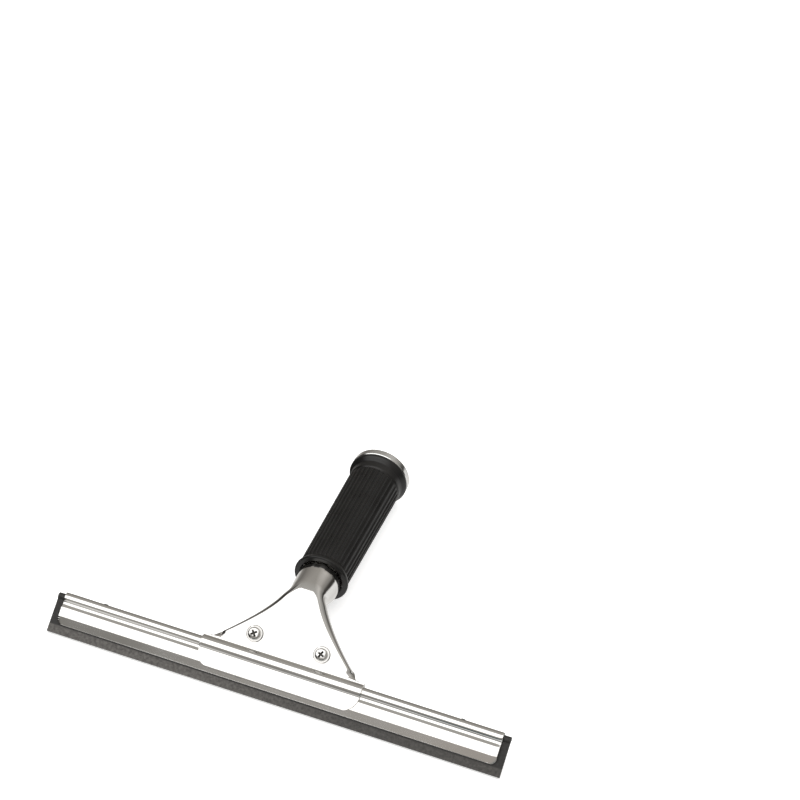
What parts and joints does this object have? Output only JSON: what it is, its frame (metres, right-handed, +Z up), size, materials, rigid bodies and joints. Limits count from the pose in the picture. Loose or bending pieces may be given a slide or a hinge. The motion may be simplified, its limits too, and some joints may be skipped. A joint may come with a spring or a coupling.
{
  "type": "window cleaning squeegee",
  "caption": "Hand squeegee with a rubber blade in a steel channel, clamped by screwed jaws on a tilted ribbed grip that takes an extension pole.",
  "frame": {"origin": "centre of the footprint on the ground, as the squeegee lies with its blade edge and the end of its handle down", "axes": "+X along the blade, +Y from the blade's edge towards the handle's free end, +Z up, out of the front face"},
  "size_m": [0.258, 0.1662, 0.0397],
  "materials": {
    "blade_rubber": "matt natural-rubber blade",
    "channel_steel": "bright drawn stainless",
    "spring_steel": "dull dark spring steel",
    "jaw_steel": "polished pressed stainless",
    "screw_steel": "bright plated",
    "washer_steel": "zinc plated spring steel",
    "nut_steel": "plain zinc plated",
    "tube_steel": "polished stainless",
    "grip_rubber": "satin moulded rubber",
    "ring_steel": "polished turned",
    "socket_plastic": "matt moulded"
  },
  "bodies": {
    "head": {"front_jaw": "jaw_steel", "handle_tube": "tube_steel", "grip": "grip_rubber", "end_ring": "ring_steel", "pole_socket": "socket_plastic", "left_washer": "washer_steel", "right_washer": "washer_steel"},
    "channel_bar": {"channel": "channel_steel", "left_clip": "spring_steel", "right_clip": "spring_steel"},
    "blade": {"blade_rubber": "blade_rubber"},
    "rear_clamp": {"back_jaw": "jaw_steel", "left_nut": "nut_steel", "right_nut": "nut_steel"},
    "left_bolt": {"left_screw": "screw_steel"},
    "right_bolt": {"right_screw": "screw_steel"}
  },
  "joints": [
    {"name": "left_screw_turn", "type": "hinge", "parent": "head", "child": "left_bolt", "pos_m": [-0.0181, -0.05599, 0.01928], "axis": [0, -0.5723, 0.82], "range_deg": [0, 1080]},
    {"name": "right_screw_turn", "type": "hinge", "parent": "head", "child": "right_bolt", "pos_m": [0.0201, -0.05599, 0.01928], "axis": [0, -0.5723, 0.82], "range_deg": [0, 1080]},
    {"name": "clamp_open", "type": "slide", "parent": "head", "child": "rear_clamp", "axis": [0, 0.5723, -0.82], "range_m": [0, 0.0021]},
    {"name": "channel_shift", "type": "slide", "parent": "head", "child": "channel_bar", "axis": [1, 0, 0], "range_m": [-0.053, 0.055]},
    {"name": "blade_pull", "type": "slide", "parent": "channel_bar", "child": "blade", "axis": [1, 0, 0], "range_m": [-0.1, 0.1]}
  ],
  "couplings": [
    {"joint": "left_screw_turn", "follows": "clamp_open", "rad_per_m": 8976},
    {"joint": "right_screw_turn", "follows": "clamp_open", "rad_per_m": 8976}
  ]
}
